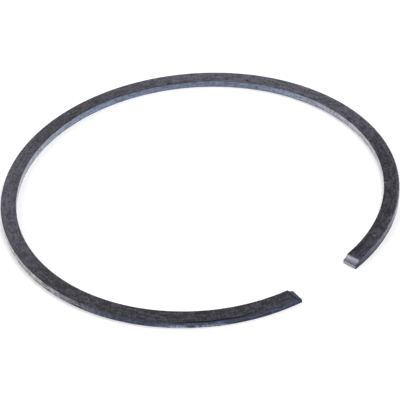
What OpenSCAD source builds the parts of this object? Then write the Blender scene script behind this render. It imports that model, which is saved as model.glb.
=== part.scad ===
// Piston ring, plain section, in its free state: a split ring of cast iron
// that springs open and is closed to its bore when it is fitted.
// It lies on its lower flank at z = 0. The joint faces -Y and the back is at +Y.

/* [Ring] */
// Bore of the cylinder that the closed ring seals
bore_d = 50; // [40:0.5:72]
// Radial width of the section, from the running face to the inner face
radial_w = 2.05; // [1.6:0.05:2.8]
// Axial height of the section, from flank to flank
axial_h = 1; // [0.8:0.05:2]
// Break on the four long edges of the section
edge_break = 0.03; // [0.02:0.01:0.2]

/* [Joint] */
// Gap between the ends when the ring is closed in its bore
closed_gap = 0.25; // [0.15:0.05:0.6]
// Gap between the ends when the ring is free
free_gap = 9; // [4:0.1:12]

/* [Locating notch] */
// Radius of the round recess that the closed ends form for the groove's peg
notch_r = 1.15; // [0.8:0.05:2]
// Depth of the recess below the upper flank
notch_depth = 0.52; // [0.2:0.02:0.6]

/* [Hidden] */
phosphated_iron = "#46444a";
overcut = 1;
arc_fn = 240;
notch_fn = 64;
degrees = 180 / PI;
closed_r = (bore_d - radial_w) / 2;

// A ring that presses evenly on its bore is bent by 1 + cos(angle from the back),
// from nothing at the ends to the most at the back. The free ring gives that
// bending up. spring is the share of the closed curvature that goes a quarter
// turn from the back. It opens the gap by 3 * PI * closed_r * spring, and a
// little more as the ends turn outwards.
opening = (free_gap - closed_gap) / (3 * PI * closed_r);
spring = opening / (1 + opening * 5 / 6);

// Direction of the outward normal of the free ring, in degrees from +Y, at the
// point that lies at angle a from the back when the ring is closed
function free_heading(a) = a - spring * (a + sin(a) * degrees);

// The closed angle whose free heading is t, found by repeated substitution
function closed_angle(t, passes = 6) =
    passes == 0 ? t :
    let (a = closed_angle(t, passes - 1))
    t + spring * (a + sin(a) * degrees);

end_heading = free_heading(180 - closed_gap / 2 / closed_r * degrees);
end_dir = [sin(end_heading), cos(end_heading)];

// Half the ring is a chain of arcs, each tangent to the next. They meet on the
// directions of whole-number right triangles and their radii are round numbers,
// so every arc ends exactly where the next one starts.
quarter = [[0, 1], [7, 24] / 25, [3, 4] / 5, [4, 3] / 5, [24, 7] / 25];
meets = concat(quarter, [for (d = quarter) [d.y, -d.x]], [end_dir]);
last = len(meets) - 2;

function heading(i) = atan2(meets[i].x, meets[i].y);

// Radius of arc i on the neutral line: it keeps the length that its stretch has
// in the closed ring
function arc_r(i) =
    let (closed_turn = closed_angle(heading(i + 1)) - closed_angle(heading(i)))
    round(100 * closed_r * closed_turn / (heading(i + 1) - heading(i))) / 100;

function arc_centre(i) =
    i == 0 ? [0, 0] :
    arc_centre(i - 1) + (arc_r(i - 1) - arc_r(i)) * meets[i];

// The box of the free ring runs from the back to the outer corners of the ends
back_y = arc_r(0) + radial_w / 2;
front_y = arc_centre(last).y + (arc_r(last) + radial_w / 2) * end_dir.y;
mid_y = round(50 * (back_y + front_y)) / 100;

module section(r) {
    half_w = radial_w / 2;
    polygon([
        [r - half_w + edge_break, 0],
        [r + half_w - edge_break, 0],
        [r + half_w, edge_break],
        [r + half_w, axial_h - edge_break],
        [r + half_w - edge_break, axial_h],
        [r - half_w + edge_break, axial_h],
        [r - half_w, axial_h - edge_break],
        [r - half_w, edge_break]
    ]);
}

module arc(i) {
    reach = ceil(bore_d);
    translate(arc_centre(i))
        intersection() {
            rotate_extrude($fn = arc_fn)
                section(arc_r(i));
            translate([0, 0, -overcut])
                linear_extrude(axial_h + 2 * overcut)
                    polygon([[0, 0], reach * meets[i], reach * meets[i + 1]]);
        }
}

// The recess lies across the section, and its axis passes over the middle of
// the closed gap
module notch() {
    translate(arc_centre(last))
        rotate(-end_heading)
            translate([closed_gap / 2, arc_r(last), axial_h - notch_depth + notch_r])
                rotate([90, 0, 0])
                    cylinder(r = notch_r, h = radial_w + 2 * overcut, center = true, $fn = notch_fn);
}

module half_ring() {
    difference() {
        union()
            for (i = [0:last])
                arc(i);
        notch();
    }
}

module piston_ring() {
    color(phosphated_iron)
        translate([0, -mid_y, 0]) {
            half_ring();
            mirror([1, 0, 0])
                half_ring();
        }
}

piston_ring();
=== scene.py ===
import math

import bpy
from mathutils import Matrix, Vector


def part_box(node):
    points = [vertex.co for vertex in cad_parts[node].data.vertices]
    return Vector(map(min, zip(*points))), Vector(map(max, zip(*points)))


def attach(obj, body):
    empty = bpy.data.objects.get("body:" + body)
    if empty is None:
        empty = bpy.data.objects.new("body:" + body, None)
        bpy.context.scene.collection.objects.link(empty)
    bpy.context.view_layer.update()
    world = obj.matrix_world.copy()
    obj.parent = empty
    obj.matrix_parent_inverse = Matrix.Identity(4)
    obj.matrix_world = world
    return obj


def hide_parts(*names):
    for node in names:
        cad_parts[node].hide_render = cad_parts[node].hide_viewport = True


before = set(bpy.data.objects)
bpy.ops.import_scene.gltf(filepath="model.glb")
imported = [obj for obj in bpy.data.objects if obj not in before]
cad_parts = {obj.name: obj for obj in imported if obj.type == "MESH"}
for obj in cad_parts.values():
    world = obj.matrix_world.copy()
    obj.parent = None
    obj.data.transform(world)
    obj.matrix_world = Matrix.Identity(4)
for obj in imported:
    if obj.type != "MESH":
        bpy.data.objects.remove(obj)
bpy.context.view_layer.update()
ringLow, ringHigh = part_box("piston_ring")
print("ring frame loaded")


def plug(tree, value, socket):  # a socket is linked, anything else is typed in
    if isinstance(value, bpy.types.NodeSocket):
        tree.links.new(value, socket)
    else:
        socket.default_value = value


def plugAll(tree, node, inputs):
    for name, value in inputs.items():
        plug(tree, value, node.inputs[name])


def addNode(tree, kind, inputs=None, **settings):
    node = tree.nodes.new(kind)
    for name, value in settings.items():
        setattr(node, name, value)
    plugAll(tree, node, inputs or {})
    return node


def maths(tree, operation, *values):
    return addNode(tree, "ShaderNodeMath", dict(enumerate(values)), operation=operation).outputs[0]


def vectorMaths(tree, operation, *values):
    node = addNode(tree, "ShaderNodeVectorMath", dict(enumerate(values)), operation=operation)
    givesNumber = operation in ("DOT_PRODUCT", "DISTANCE", "LENGTH")
    return node.outputs["Value" if givesNumber else "Vector"]


def combined(tree, **axes):
    return addNode(tree, "ShaderNodeCombineXYZ", axes).outputs[0]


def axisOf(tree, vector, axis):
    return addNode(tree, "ShaderNodeSeparateXYZ", {"Vector": vector}).outputs[axis]


def spread(tree, value, low, high, to=(0.0, 1.0), smooth=False):
    node = addNode(tree, "ShaderNodeMapRange", {
        "Value": value, "From Min": low, "From Max": high, "To Min": to[0], "To Max": to[1]},
        interpolation_type="SMOOTHSTEP" if smooth else "LINEAR")
    return node.outputs[0]


def noiseOn(tree, vector, scale, detail, roughness):
    node = addNode(tree, "ShaderNodeTexNoise", {
        "Vector": vector, "Scale": scale, "Detail": detail, "Roughness": roughness})
    return node.outputs["Fac"]


def opaque(colour):
    return colour if isinstance(colour, bpy.types.NodeSocket) else (*colour, 1.0)


def rampOn(tree, value, stops):  # stops are (position, colour)
    node = addNode(tree, "ShaderNodeValToRGB", {"Fac": value})
    ramp = node.color_ramp
    while len(ramp.elements) < len(stops):
        ramp.elements.new(1.0)
    for element, (position, colour) in zip(ramp.elements, stops):
        element.position = position
        element.color = opaque(colour)
    return node.outputs["Color"]


def mixOn(tree, factor, first, second, blend="MIX"):  # 6, 7 and 2 are the node's colour sockets
    node = addNode(tree, "ShaderNodeMix", {0: factor, 6: opaque(first), 7: opaque(second)},
                   data_type="RGBA", blend_type=blend)
    return node.outputs[2]


def bumpOn(tree, height, distance):
    node = addNode(tree, "ShaderNodeBump", {"Strength": 1.0, "Distance": distance, "Height": height})
    return node.outputs["Normal"]


def stored(tree, name):  # a value that the ring's own mesh carries
    return addNode(tree, "ShaderNodeAttribute", attribute_name=name).outputs["Fac"]


# 0 to 1 as a point's direction from the middle goes from the first cosine to the second
def sideOf(tree, place, towards, cosines):
    nearness = vectorMaths(tree, "DOT_PRODUCT", vectorMaths(tree, "NORMALIZE", place), towards)
    return spread(tree, nearness, *cosines, smooth=True)


def leftToRight(tree, place, reach):
    return spread(tree, axisOf(tree, place, "X"), -reach, reach)


def newFinish(name):
    material = bpy.data.materials.new(name)
    material.use_nodes = True
    tree = material.node_tree
    place = addNode(tree, "ShaderNodeTexCoord").outputs["Object"]
    return material, tree, tree.nodes["Principled BSDF"], place


paintedDarkEdges = dict(                   # painted shade: an upper edge painted black in one sector, a painted dark reflection
    runningFace=dict(
        towards=(-0.586, -0.810, 0.0),
        cosines=(0.975, 1.0),
        amount=1.0,
        onFlank=(-0.00090, -0.00100),   # from where to where it darkens across the section
    ),
    boreSide=dict(
        towards=(0.450, 0.893, 0.0),
        cosines=(0.955, 0.990),
        amount=0.5,
        onFlank=(0.00085, 0.00100),
    ),
    onWall=(0.25, 0.06),            # share of the wall's height, counted down from the edge
    colour=(0.004, 0.004, 0.008),
    film=0.25,
)


def edgeDarkness(tree, place, edge):
    return maths(tree, "MULTIPLY", sideOf(tree, place, edge["towards"], edge["cosines"]), edge["amount"])


phosphateCoat = dict(
    crystals=[                      # dark, middling and pale
        (0.436, (0.0062, 0.0057, 0.0085)),
        (0.500, (0.0202, 0.0194, 0.0252)),
        (0.564, (0.0500, 0.0475, 0.0578)),
    ],
    blotches=(1150.0, 3.0, 0.6),    # each noise is scale, detail, roughness
    grain=(4200.0, 1.0, 0.5),
    streaks=(3000.0, 2.0, 0.5),
    shares=(0.30, 0.34, 0.36),      # of blotches, grain and streaks
    grainLay=52.0,                  # degrees from +X
    grainStretch=0.6,
    streakStretch=0.2,
    # painted light: the coat's colour on its lit sides and edges
    paintedLightColour=(0.116, 0.113, 0.131),
    paintedLitSides=[                     # towards, from what cosines, how much painted light
        ((0.88, 0.47, 0.0), (0.50, 1.0), 0.47),
        ((-0.80, 0.60, 0.0), (0.78, 1.0), 0.34),
    ],
    paintedLitEdges=[                     # towards, from what cosines, from how far out, how much painted light
        ((0.83, 0.55, 0.0), (-0.7, 0.0), (0.0, -0.0008), 0.15),
        ((0.602, -0.799, 0.0), (0.92, 0.966), (-0.00084, -0.00096), 1.0),
    ],
    paintedLightFrom=(0.40, 0.60),          # the painted light shows least on the dark crystals
    paintedLightBy=(0.25, 1.75),
    tintNoise=(1500.0, 2.0, 0.5),
    tintFrom=(0.40, 0.60),
    tints=((1.06, 0.97, 1.04), (0.94, 0.98, 1.20)),   # reddish and blue crystals
    fleckNoise=(3400.0, 1.0, 0.5),
    fleckFrom=(0.72, 0.80),
    holeFrom=(0.28, 0.20),
    fleckAmount=0.8,
    fleckColour=(0.22, 0.22, 0.24),
    pitAndShadeColour=(0.006, 0.006, 0.008),
    paleSpotColour=(0.10, 0.10, 0.112),
    pits=[(0.01225, 0.02082), (0.02072, 0.01358)],    # x, y on the upper flank
    paleSpots=[(0.01874, -0.01645), (0.01015, -0.02340)],
    spotSize=(0.00030, 0.00008),    # radius where a spot begins and where it is full
    roughFrom=(0.35, 0.65),
    roughness=(0.28, 0.44),
    sheen=0.3,
    bumpHeight=0.0001,
)


def spotsOn(tree, place, spots, size):
    spotted = 0.0
    for x, y in spots:
        away = vectorMaths(tree, "DISTANCE", place, (x, y, ringHigh.z))
        spotted = maths(tree, "MAXIMUM", spotted, spread(tree, away, *size))
    return spotted


def paintedLightOnCoat(tree, place, across, body, settings):  # painted light: the coat is painted paler on the sides and edges where light falls
    paintedLight = 0.0
    for towards, cosines, amount in settings["paintedLitSides"]:
        side = sideOf(tree, place, towards, cosines)
        paintedLight = maths(tree, "ADD", paintedLight, maths(tree, "MULTIPLY", side, amount))
    for towards, cosines, outwards, amount in settings["paintedLitEdges"]:
        side = sideOf(tree, place, towards, cosines)
        outer = spread(tree, across, *outwards, (0.0, amount))
        paintedLight = maths(tree, "ADD", paintedLight, maths(tree, "MULTIPLY", side, outer))
    return maths(tree, "MULTIPLY", paintedLight, spread(tree, body, *settings["paintedLightFrom"], settings["paintedLightBy"]))


def makePhosphate(settings):
    material, tree, shader, place = newFinish("phosphateCoat")

    # blotches, a straight lay of grain and streaks that run round the ring
    blotches = noiseOn(tree, place, *settings["blotches"])
    turned = addNode(tree, "ShaderNodeVectorRotate", {
        "Vector": place, "Angle": -math.radians(settings["grainLay"])},
        rotation_type="Z_AXIS").outputs[0]
    laid = addNode(tree, "ShaderNodeMapping", {
        "Vector": turned, "Scale": (settings["grainStretch"], 1.0, 1.0)}).outputs[0]
    grain = noiseOn(tree, laid, *settings["grain"])
    across = stored(tree, "acrossSection")
    along = maths(tree, "MULTIPLY", stored(tree, "alongRing"), settings["streakStretch"])
    streaks = noiseOn(tree, combined(tree, X=along, Y=across), *settings["streaks"])
    body = 0.0
    for noise, share in zip((blotches, grain, streaks), settings["shares"]):
        body = maths(tree, "ADD", body, maths(tree, "MULTIPLY", noise, share))
    colour = rampOn(tree, body, settings["crystals"])
    # painted light on the coat, paler on the lit sides and edges
    paintedLight = paintedLightOnCoat(tree, place, across, body, settings)
    colour = mixOn(tree, paintedLight, colour, settings["paintedLightColour"])
    tint = spread(tree, noiseOn(tree, place, *settings["tintNoise"]), *settings["tintFrom"])
    colour = mixOn(tree, 1.0, colour, mixOn(tree, tint, *settings["tints"]), "MULTIPLY")

    # small bright flecks and dark holes all over
    flecks = noiseOn(tree, place, *settings["fleckNoise"])
    for limits, fleckColour in ((settings["fleckFrom"], settings["fleckColour"]),
                                (settings["holeFrom"], settings["pitAndShadeColour"])):
        flecked = spread(tree, flecks, *limits, (0.0, settings["fleckAmount"]))
        colour = mixOn(tree, flecked, colour, fleckColour)

    # single pits and pale spots, and the painted dark edges
    pitsAndEdgeShade = spotsOn(tree, place, settings["pits"], settings["spotSize"])
    paleSpotted = spotsOn(tree, place, settings["paleSpots"], settings["spotSize"])
    for edge in (paintedDarkEdges["runningFace"], paintedDarkEdges["boreSide"]):
        strip = spread(tree, across, *edge["onFlank"])
        paintedEdgeShade = maths(tree, "MULTIPLY", strip, edgeDarkness(tree, place, edge))
        pitsAndEdgeShade = maths(tree, "MAXIMUM", pitsAndEdgeShade, paintedEdgeShade)
    colour = mixOn(tree, pitsAndEdgeShade, colour, settings["pitAndShadeColour"])
    colour = mixOn(tree, paleSpotted, colour, settings["paleSpotColour"])
    plugAll(tree, shader, {
        "Base Color": colour,
        "Metallic": pitsAndEdgeShade,  # a black metal, which mirrors nothing, in the pits and the painted dark edges
        "Roughness": spread(tree, blotches, *settings["roughFrom"], settings["roughness"]),
        "Specular IOR Level": settings["sheen"],
        "Normal": bumpOn(tree, body, settings["bumpHeight"]),
    })
    return material


wallSteel = dict(
    boreSide=dict(
        bluedSteel=[                # from the upper flank down to the lower one
            (0.0, (0.121, 0.158, 0.268)),
            (1.0, (0.146, 0.187, 0.316)),
        ],
        sectorRamps=[],
        # painted reflection: paler steel away from this side, on the ring's sides
        reflectionAwayFrom=(0.559, 0.829, 0.0),
        reflectionCosines=(0.97, 0.35),
        leftReflection=(0.322, 0.338, 0.430),
        rightReflection=(0.322, 0.312, 0.355),
        bluedShades=(0.23, 1.77),   # times this at the darkest marks and at the palest
        reflectionShades=(0.2, 1.8),
        paintedShadeAndHighlights=[],
        filmIndex=1.74,
    ),
    runningFace=dict(
        bluedSteel=[
            (0.0, (0.008, 0.014, 0.040)),
            (0.6, (0.034, 0.046, 0.105)),
            (1.0, (0.060, 0.070, 0.120)),
        ],
        sectorRamps=[               # towards, from what cosines, the steel from top to bottom
            ((-0.668, -0.744, 0.0), (0.980, 0.995), [
                (0.0, (0.008, 0.014, 0.040)),
                (0.4, (0.055, 0.080, 0.165)),
                (0.7, (0.165, 0.195, 0.320)),
                (0.9, (0.340, 0.365, 0.480)),
            ]),
        ],
        # painted reflection: paler steel away from this side, on the ring's sides
        reflectionAwayFrom=(-0.469, -0.883, 0.0),
        reflectionCosines=(0.85, 0.35),
        leftReflection=(0.29, 0.29, 0.29),
        rightReflection=(0.145, 0.165, 0.25),
        bluedShades=(-0.5, 2.5),
        reflectionShades=(-0.2, 2.2),
        paintedShadeAndHighlights=[               # painted shade and highlights: towards, from what cosines and depths, times what, how much film
            ((-0.342, -0.940, 0.0), (0.965, 0.985), (0.60, 0.85), (0.50, 0.62, 0.90), 0.75),
            ((0.342, -0.940, 0.0), (0.955, 0.978), (0.18, 0.55), (0.33, 0.30, 0.40), 0.66),
            ((0.0, -1.0, 0.0), (0.9765, 0.9835), (0.25, 0.60), (0.45, 0.45, 0.45), 0.6),
            ((0.342, -0.940, 0.0), (0.940, 0.970), (-1.0, 0.0), (0.97, 0.89, 1.15), 1.0),
            ((0.848, -0.530, 0.0), (0.94, 0.985), (-1.0, 0.0), (1.8, 1.8, 1.8), 1.0),
        ],
        filmIndex=1.42,
    ),
    reflectionReach=0.015,                # past this X the painted reflection is wholly the left or the right one
    turningMarks=(9000.0, 2.0, 0.5),
    markStretch=0.06,
    patches=(2200.0, 4.0, 0.6),
    markShare=0.5,                  # the patches have the rest
    shadeFrom=(0.35, 0.65),
    leastShade=0.05,
    roughFrom=(0.3, 0.7),
    roughness=(0.45, 0.58),
    bumpHeight=0.0000015,
    filmRoughness=0.2,
    lay=0.9,                        # how far the turning marks stretch a reflection up and down
    layTurn=0.25,
)


def makeWall(wallName, settings):
    material, tree, shader, place = newFinish(wallName + "Steel")
    wall = settings[wallName]
    height = axisOf(tree, place, "Z")
    depth = spread(tree, height, ringLow.z, ringHigh.z, (1.0, 0.0))
    along = maths(tree, "MULTIPLY", stored(tree, "alongRing"), settings["markStretch"])
    marks = noiseOn(tree, combined(tree, X=along, Y=height), *settings["turningMarks"])
    patches = noiseOn(tree, place, *settings["patches"])
    colour = rampOn(tree, depth, wall["bluedSteel"])
    for towards, cosines, stops in wall["sectorRamps"]:
        colour = mixOn(tree, sideOf(tree, place, towards, cosines), colour, rampOn(tree, depth, stops))

    # painted reflection: away from one side of the ring the blued steel is painted paler, the sheen its
    # sides mirror
    paintedReflection = sideOf(tree, place, wall["reflectionAwayFrom"], wall["reflectionCosines"])
    toRight = leftToRight(tree, place, settings["reflectionReach"])
    colour = mixOn(tree, paintedReflection, colour, mixOn(tree, toRight, wall["leftReflection"], wall["rightReflection"]))
    markPart = maths(tree, "MULTIPLY", marks, settings["markShare"])
    patchPart = maths(tree, "MULTIPLY", patches, 1.0 - settings["markShare"])
    body = maths(tree, "ADD", markPart, patchPart)
    shades = [spread(tree, paintedReflection, 0.0, 1.0, pair)
              for pair in zip(wall["bluedShades"], wall["reflectionShades"])]
    shade = spread(tree, body, *settings["shadeFrom"], shades)
    shade = maths(tree, "MAXIMUM", shade, settings["leastShade"])
    grey = addNode(tree, "ShaderNodeCombineColor", {
        "Red": shade, "Green": shade, "Blue": shade}).outputs[0]
    colour = mixOn(tree, 1.0, colour, grey, "MULTIPLY")

    # painted shade and highlights: some sectors are darkened, tinted or brightened, and one upper edge
    # is painted black
    film = 1.0
    for towards, cosines, depths, times, filmLeft in wall["paintedShadeAndHighlights"]:
        side = sideOf(tree, place, towards, cosines)
        amount = maths(tree, "MULTIPLY", side, spread(tree, depth, *depths))
        colour = mixOn(tree, amount, colour, times, "MULTIPLY")
        film = maths(tree, "MULTIPLY", film, spread(tree, amount, 0.0, 1.0, (1.0, filmLeft)))
    # painted shade: the upper edge painted black in one sector
    dark = maths(tree, "MULTIPLY", edgeDarkness(tree, place, paintedDarkEdges[wallName]),
                 spread(tree, depth, *paintedDarkEdges["onWall"]))
    colour = mixOn(tree, dark, colour, paintedDarkEdges["colour"])
    film = maths(tree, "MULTIPLY", film, spread(tree, dark, 0.0, 1.0, (1.0, paintedDarkEdges["film"])))
    plugAll(tree, shader, {
        "Base Color": colour,
        "Metallic": 1.0,
        "Roughness": spread(tree, patches, *settings["roughFrom"], settings["roughness"]),
        "Normal": bumpOn(tree, marks, settings["bumpHeight"]),
        "Coat Weight": film,
        "Coat IOR": wall["filmIndex"],
        "Coat Roughness": settings["filmRoughness"],
        "Anisotropic": settings["lay"],
        "Anisotropic Rotation": settings["layTurn"],
        "Tangent": addNode(tree, "ShaderNodeTangent", direction_type="RADIAL", axis="Z").outputs[0],
    })
    return material


groundMetal = dict(
    metal=[(0.35, (0.20, 0.20, 0.24)), (0.65, (0.40, 0.40, 0.47))],   # dark and pale marks
    wheelMarks=(14000.0, 2.0, 0.5),
    markStretch=0.08,
    leftDarkening=((0.80, 0.80, 0.84), (0.29, 0.29, 0.31)),   # on the end and up in the notch
    darkeningRise=0.0002,
    rightRimShade=((1.0, 1.0, 1.0), (0.40, 0.40, 0.43)),     # painted shade: none all over, dark at the notch's rim
    rimBand=(0.00080, 0.00095),
    endReach=0.002,
    # painted shade in the crease where a notch meets its end
    lipShade=(0.52, 0.52, 0.54),
    lipBand=(0.00001, 0.00005),
    # painted shade along the outer edge of the cut
    outerEdgeShade=(0.42, 0.42, 0.48),
    outerBand=(-0.00078, -0.00100),
    roughness=(0.28, 0.43),
    bumpHeight=0.000002,
)


def makeGround(settings, lip):  # the lip is the height where a notch meets its end
    material, tree, shader, place = newFinish("groundMetal")
    stretched = addNode(tree, "ShaderNodeMapping", {
        "Vector": place, "Scale": (1.0, settings["markStretch"], 1.0)}).outputs[0]
    marks = noiseOn(tree, stretched, *settings["wheelMarks"])  # they run across the section
    colour = rampOn(tree, marks, settings["metal"])

    # the left end's cut is darker, more so nearer the flank; painted shade lies along the right notch's
    # rim, the lip and the outer edge
    height = axisOf(tree, place, "Z")
    rise = spread(tree, height, lip, lip + settings["darkeningRise"])
    leftDarkening = mixOn(tree, rise, *settings["leftDarkening"])
    rightRimShade = mixOn(tree, spread(tree, height, *settings["rimBand"]), *settings["rightRimShade"])
    darkeningAndShade = mixOn(tree, leftToRight(tree, place, settings["endReach"]), leftDarkening, rightRimShade)
    fromLip = maths(tree, "ABSOLUTE", maths(tree, "SUBTRACT", height, lip))
    darkeningAndShade = mixOn(tree, spread(tree, fromLip, *settings["lipBand"]), settings["lipShade"], darkeningAndShade)
    outer = spread(tree, stored(tree, "acrossSection"), *settings["outerBand"])
    darkeningAndShade = mixOn(tree, outer, darkeningAndShade, settings["outerEdgeShade"], "MULTIPLY")
    plugAll(tree, shader, {
        "Base Color": mixOn(tree, 1.0, colour, darkeningAndShade, "MULTIPLY"),
        "Specular Tint": darkeningAndShade,
        "Metallic": 1.0,
        "Roughness": spread(tree, marks, 0.0, 1.0, settings["roughness"]),
        "Normal": bumpOn(tree, marks, settings["bumpHeight"]),
    })
    return material


pistonRing = dict(
    radialWidth=0.00205,
    edgeBreak=0.00003,          # radius
    closedRadius=0.023975,      # neutral line of the closed ring
    closedGap=0.00025,
    spring=0.0375,              # share of the closed curvature given up a quarter turn from the back
    notchRadius=0.00115,
    notchDepth=0.00052,
    bodySteps=720,
    notchSteps=24,
    breakSteps=4,
    rimTurns=(5.0, 15.0),       # degrees between the faces at the rim of a flat
    cornerTurn=30.0,            # and at least this much at a corner
    wallSlack=0.0000001,        # how near a point lies that counts as on a wall, a notch or an end
    notchSlack=0.000004,
    endSlack=0.000001,
)


finishes = dict(
    flank=makePhosphate(phosphateCoat),
    boreSide=makeWall("boreSide", wallSteel),
    runningFace=makeWall("runningFace", wallSteel),
    ground=makeGround(groundMetal, ringHigh.z - pistonRing["notchDepth"]),
)
print("finishes made")


def ringTree(sizes):
    tree = bpy.data.node_groups.new("freeRing", "GeometryNodeTree")
    for kind, names in (
            ("Float", ("Radial Width", "Axial Height", "Edge Break", "Closed Radius", "Closed Gap",
                       "Spring", "Notch Radius", "Notch Depth", "Back Y")),
            ("Int", ("Body Steps", "Notch Steps", "Break Steps")),
            ("Material", ("Flank Finish", "Bore Side Finish", "Running Face Finish", "Ground Finish"))):
        for name in names:
            tree.interface.new_socket(name, in_out="INPUT", socket_type="NodeSocket" + kind)
    tree.interface.new_socket("Ring", in_out="OUTPUT", socket_type="NodeSocketGeometry")
    given = addNode(tree, "NodeGroupInput").outputs

    def calc(operation, *values):
        return maths(tree, operation, *values)

    def half(value):
        return calc("MULTIPLY", value, 0.5)

    def square(value):
        return calc("MULTIPLY", value, value)

    def store(geometry, name, value):
        return addNode(tree, "GeometryNodeStoreNamedAttribute", {
            "Geometry": geometry, "Name": name, "Value": value},
            data_type="FLOAT", domain="POINT").outputs[0]

    def read(name):
        return addNode(tree, "GeometryNodeInputNamedAttribute", {"Name": name},
                       data_type="FLOAT").outputs["Attribute"]

    def moveTo(geometry, place):
        return addNode(tree, "GeometryNodeSetPosition", {
            "Geometry": geometry, "Position": place}).outputs[0]

    # lengths along the closed ring
    halfGap = half(given["Closed Gap"])
    turnLength = calc("MULTIPLY", given["Closed Radius"], math.tau)
    fullLength = calc("SUBTRACT", turnLength, given["Closed Gap"])
    axisRise = calc("SUBTRACT", given["Notch Radius"], given["Notch Depth"])
    notchSquare = square(given["Notch Radius"])
    halfChord = calc("SQRT", calc("SUBTRACT", notchSquare, square(axisRise)))
    notchLength = calc("SUBTRACT", halfChord, halfGap)
    bodyLength = calc("SUBTRACT", fullLength, calc("MULTIPLY", notchLength, 2.0))
    bodyEnd = calc("ADD", given["Notch Steps"], given["Body Steps"])
    allSteps = calc("ADD", bodyEnd, given["Notch Steps"])

    def lengthAt(step):  # short steps in the two notches, long ones between
        first = spread(tree, step, 0.0, given["Notch Steps"], (0.0, notchLength))
        middle = spread(tree, step, given["Notch Steps"], bodyEnd, (0.0, bodyLength))
        last = spread(tree, step, bodyEnd, allSteps, (0.0, notchLength))
        return calc("ADD", calc("ADD", first, middle), last)

    # the direction of the free ring comes from its closed angle
    index = addNode(tree, "GeometryNodeInputIndex").outputs[0]
    here = lengthAt(index)
    there = lengthAt(calc("ADD", index, 1.0))
    pastBack = calc("SUBTRACT", half(calc("ADD", here, there)), half(fullLength))
    fromBack = calc("DIVIDE", pastBack, given["Closed Radius"])
    bentBy = calc("MULTIPLY", given["Spring"], calc("ADD", fromBack, calc("SINE", fromBack)))
    heading = calc("SUBTRACT", fromBack, bentBy)
    stepLength = calc("SUBTRACT", there, here)
    fall = calc("MULTIPLY", calc("SINE", heading), -1.0)
    stepVector = combined(tree, X=calc("MULTIPLY", stepLength, calc("COSINE", heading)),
                          Y=calc("MULTIPLY", stepLength, fall))
    summed = addNode(tree, "GeometryNodeAccumulateField", {"Value": stepVector},
                     data_type="FLOAT_VECTOR").outputs["Trailing"]
    atBack = addNode(tree, "GeometryNodeFieldAtIndex", {"Index": half(allSteps), "Value": summed},
                     data_type="FLOAT_VECTOR").outputs[0]
    backPoint = combined(tree, Y=given["Back Y"], Z=half(given["Axial Height"]))
    linePlace = vectorMaths(tree, "ADD", vectorMaths(tree, "SUBTRACT", summed, atBack), backPoint)

    # the neutral line
    line = addNode(tree, "GeometryNodeCurvePrimitiveLine").outputs[0]
    line = addNode(tree, "GeometryNodeResampleCurve", {
        "Curve": line, "Count": calc("ADD", allSteps, 1.0)}).outputs[0]
    line = moveTo(store(line, "alongRing", here), linePlace)
    line = addNode(tree, "GeometryNodeSetCurveNormal", {"Curve": line}, mode="Z_UP").outputs[0]

    # the section, with its edges broken
    position = addNode(tree, "GeometryNodeInputPosition").outputs[0]
    section = addNode(tree, "GeometryNodeCurvePrimitiveQuadrilateral", {
        "Width": given["Radial Width"], "Height": given["Axial Height"]}).outputs[0]
    section = addNode(tree, "GeometryNodeFilletCurve", {
        "Curve": section, "Radius": given["Edge Break"], "Count": given["Break Steps"]},
        mode="POLY").outputs[0]
    section = store(section, "acrossSection", axisOf(tree, position, "X"))
    ring = addNode(tree, "GeometryNodeCurveToMesh", {
        "Curve": line, "Profile Curve": section, "Fill Caps": True}).outputs[0]

    # the notches: nothing stands above the round cut
    alongRing = read("alongRing")
    fromEnd = calc("MINIMUM", alongRing, calc("SUBTRACT", fullLength, alongRing))
    fromAxis = calc("ADD", fromEnd, halfGap)
    sag = calc("SQRT", calc("MAXIMUM", calc("SUBTRACT", notchSquare, square(fromAxis)), 0.0))
    cutHeight = calc("SUBTRACT", calc("ADD", given["Axial Height"], axisRise), sag)
    point = addNode(tree, "ShaderNodeSeparateXYZ", {"Vector": position}).outputs
    cutZ = calc("MINIMUM", point["Z"], cutHeight)
    ring = moveTo(ring, combined(tree, X=point["X"], Y=point["Y"], Z=cutZ))

    # flats stay flat: an edge is sharp at the rim of a flat and at every corner
    ring = addNode(tree, "GeometryNodeSetShadeSmooth", {"Geometry": ring, "Shade Smooth": True},
                   domain="FACE").outputs[0]
    turn = addNode(tree, "GeometryNodeInputMeshEdgeAngle").outputs["Unsigned Angle"]
    leastTurn, mostTurn = (math.radians(degrees) for degrees in sizes["rimTurns"])
    rim = calc("MULTIPLY", calc("GREATER_THAN", turn, leastTurn), calc("LESS_THAN", turn, mostTurn))
    corner = calc("GREATER_THAN", turn, math.radians(sizes["cornerTurn"]))
    ring = addNode(tree, "GeometryNodeSetShadeSmooth", {
        "Geometry": ring, "Selection": calc("MAXIMUM", rim, corner), "Shade Smooth": False},
        domain="EDGE").outputs[0]

    # which faces are which
    acrossSection = read("acrossSection")
    nearWall = calc("SUBTRACT", half(given["Radial Width"]), sizes["wallSlack"])
    onBoreSide = calc("GREATER_THAN", acrossSection, nearWall)
    onRunningFace = calc("LESS_THAN", acrossSection, calc("MULTIPLY", nearWall, -1.0))
    fromCut = calc("ABSOLUTE", calc("SUBTRACT", point["Z"], cutHeight))
    onNotch = calc("MULTIPLY", calc("LESS_THAN", fromEnd, notchLength),
                   calc("LESS_THAN", fromCut, sizes["notchSlack"]))
    onEnd = calc("LESS_THAN", fromEnd, sizes["endSlack"])

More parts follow.
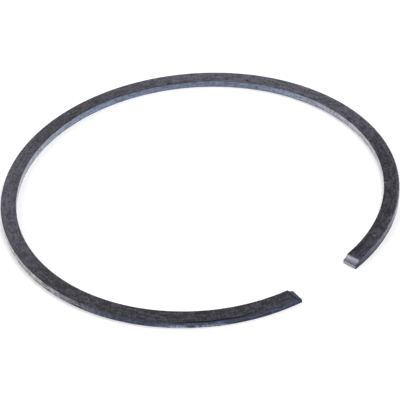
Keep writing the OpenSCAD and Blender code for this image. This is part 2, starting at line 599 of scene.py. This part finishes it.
    ring = addNode(tree, "GeometryNodeRealizeInstances", {"Geometry": ring}).outputs[0]
    for name, chosen in (("Flank Finish", {}),
                         ("Running Face Finish", {"Selection": onRunningFace}),
                         ("Bore Side Finish", {"Selection": onBoreSide}),
                         ("Ground Finish", {"Selection": calc("MAXIMUM", onNotch, onEnd)})):
        ring = addNode(tree, "GeometryNodeSetMaterial", {
            "Geometry": ring, "Material": given[name], **chosen}).outputs[0]
    tree.links.new(ring, addNode(tree, "NodeGroupOutput").inputs[0])
    return tree


def setInputs(modifier, values):
    for item in modifier.node_group.interface.items_tree:
        if item.item_type == "SOCKET" and item.in_out == "INPUT" and item.name in values:
            modifier[item.identifier] = values[item.name]


def makeRing(sizes, finish):
    holder = bpy.data.objects.new("pistonRing", bpy.data.meshes.new("pistonRing"))
    bpy.context.scene.collection.objects.link(holder)
    modifier = holder.modifiers.new("freeRing", "NODES")
    modifier.node_group = ringTree(sizes)
    setInputs(modifier, {
        "Radial Width": sizes["radialWidth"],
        "Axial Height": ringHigh.z - ringLow.z,
        "Edge Break": sizes["edgeBreak"],
        "Closed Radius": sizes["closedRadius"],
        "Closed Gap": sizes["closedGap"],
        "Spring": sizes["spring"],
        "Notch Radius": sizes["notchRadius"],
        "Notch Depth": sizes["notchDepth"],
        "Back Y": ringHigh.y - sizes["radialWidth"] / 2,
        "Body Steps": sizes["bodySteps"],
        "Notch Steps": sizes["notchSteps"],
        "Break Steps": sizes["breakSteps"],
        "Flank Finish": finish["flank"],
        "Bore Side Finish": finish["boreSide"],
        "Running Face Finish": finish["runningFace"],
        "Ground Finish": finish["ground"],
    })
    evaluated = holder.evaluated_get(bpy.context.evaluated_depsgraph_get())
    mesh = bpy.data.meshes.new_from_object(evaluated)
    holder.modifiers.clear()
    holder.data = mesh
    return holder


ring = makeRing(pistonRing, finishes)
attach(ring, "root")
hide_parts("piston_ring")
print("ring made:", len(ring.data.polygons), "faces, materials", [m.name for m in ring.data.materials])


paleFloor = dict(               # a wide dish, so no horizon shows
    flatRadius=1.5,
    rimRadius=2.0,
    rimHeight=0.4,
    bendSteps=12,
    sides=96,
    drop=0.00001,               # a hair below the ring
    colour=(0.82, 0.82, 0.82),
    roughness=0.9,
    lift=(0.32, 0.9),           # whiter away from the ring
    liftFrom=(0.1, 0.6),
)


def dishMesh(sizes):
    level = ringLow.z - sizes["drop"]
    sides, steps = sizes["sides"], sizes["bendSteps"]
    corners = []
    for step in range(steps + 1):
        turn = math.pi / 2 * step / steps
        radius = sizes["flatRadius"] + (sizes["rimRadius"] - sizes["flatRadius"]) * math.sin(turn)
        height = level + sizes["rimHeight"] * (1.0 - math.cos(turn))
        for side in range(sides):
            angle = math.tau * side / sides
            corners.append((radius * math.cos(angle), radius * math.sin(angle), height))
    faces = [tuple(range(sides))]
    for step in range(steps):
        inner, outer = step * sides, (step + 1) * sides
        for side in range(sides):
            after = (side + 1) % sides
            faces.append((inner + side, outer + side, outer + after, inner + after))
    mesh = bpy.data.meshes.new("paleFloor")
    mesh.from_pydata(corners, [], faces)
    mesh.polygons.foreach_set("use_smooth", [True] * len(faces))
    return mesh


def makeFloor(settings):
    floor = bpy.data.objects.new("paleFloor", dishMesh(settings))
    bpy.context.scene.collection.objects.link(floor)
    material, tree, shader, place = newFinish("palePaper")
    rays = addNode(tree, "ShaderNodeLightPath").outputs
    seen = maths(tree, "MAXIMUM", rays["Is Camera Ray"], rays["Is Glossy Ray"])
    seen = maths(tree, "MAXIMUM", seen, rays["Is Transmission Ray"])
    away = vectorMaths(tree, "LENGTH", place)
    lift = spread(tree, away, *settings["liftFrom"], settings["lift"], smooth=True)
    plugAll(tree, shader, {
        "Base Color": opaque(settings["colour"]),
        "Roughness": settings["roughness"],
        "Specular IOR Level": 0.0,
        "Emission Color": (1.0, 1.0, 1.0, 1.0),
        "Emission Strength": maths(tree, "MULTIPLY", seen, lift),
    })
    floor.data.materials.append(material)


studio = dict(
    skyLevels=[                 # a pale wall under a dim ceiling, from low to overhead
        (0.00, 1.7),
        (0.63, 1.7),
        (0.75, 0.3),
        (0.85, 0.35),
        (1.00, 0.5),
    ],
    skyUp=(0.165, -0.129, 0.978),   # leans to the right, so the wall reaches higher on the left
    wallSide=(-0.5, 0.866, 0.0),    # it stands behind the ring, and the rest of the room is dim
    wallCosines=(0.1, 0.45),
    wallLevels=(0.1, 1.0),
    lampPlace=(0.22, -0.17, 0.53),
    lampSize=0.36,
    lampWatts=2.5,
)


def makeStudio(settings):
    world = bpy.data.worlds.new("studio")
    bpy.context.scene.world = world
    world.use_nodes = True
    tree = world.node_tree
    direction = addNode(tree, "ShaderNodeTexCoord").outputs["Generated"]
    upwards = vectorMaths(tree, "DOT_PRODUCT", direction, settings["skyUp"])
    greys = [(at, (level, level, level)) for at, level in settings["skyLevels"]]
    wallwards = vectorMaths(tree, "DOT_PRODUCT", direction, settings["wallSide"])
    strength = spread(tree, wallwards, *settings["wallCosines"], settings["wallLevels"], smooth=True)
    plugAll(tree, tree.nodes["Background"], {
        "Color": rampOn(tree, upwards, greys),
        "Strength": strength,
    })

    lamp = bpy.data.lights.new("softbox", "AREA")
    lamp.shape = "SQUARE"
    lamp.size = settings["lampSize"]
    lamp.energy = settings["lampWatts"]
    softbox = bpy.data.objects.new("softbox", lamp)
    softbox.location = settings["lampPlace"]
    softbox.rotation_euler = (-Vector(settings["lampPlace"])).to_track_quat("-Z", "Y").to_euler()
    bpy.context.scene.collection.objects.link(softbox)


viewCamera = dict(
    azimuth=-38.05,             # degrees
    elevation=38.82,
    roll=-3.536,
    distance=0.31095,
    aim=(-0.000686, -0.001289, 0.0),
    lens=210.68,                # millimetres
    sensorWidth=36.0,
    nearest=0.01,
)


def makeCamera(settings):
    turn, tilt, roll = (math.radians(settings[key]) for key in ("azimuth", "elevation", "roll"))
    away = Vector((math.sin(turn) * math.cos(tilt), -math.cos(turn) * math.cos(tilt), math.sin(tilt)))
    level = Vector((math.cos(turn), math.sin(turn), 0.0))
    upright = away.cross(level)
    right = level * math.cos(roll) + upright * math.sin(roll)
    top = upright * math.cos(roll) - level * math.sin(roll)
    data = bpy.data.cameras.new("viewCamera")
    data.lens = settings["lens"]
    data.sensor_width = settings["sensorWidth"]
    data.clip_start = settings["nearest"]
    camera = bpy.data.objects.new("viewCamera", data)
    turned = Matrix((right, top, away)).transposed().to_4x4()
    stand = Vector(settings["aim"]) + away * settings["distance"]
    camera.matrix_world = Matrix.Translation(stand) @ turned
    bpy.context.scene.collection.objects.link(camera)
    bpy.context.scene.camera = camera


makeFloor(paleFloor)
makeStudio(studio)
makeCamera(viewCamera)
bpy.context.scene.view_settings.view_transform = "Standard"
print("floor, light and camera placed")
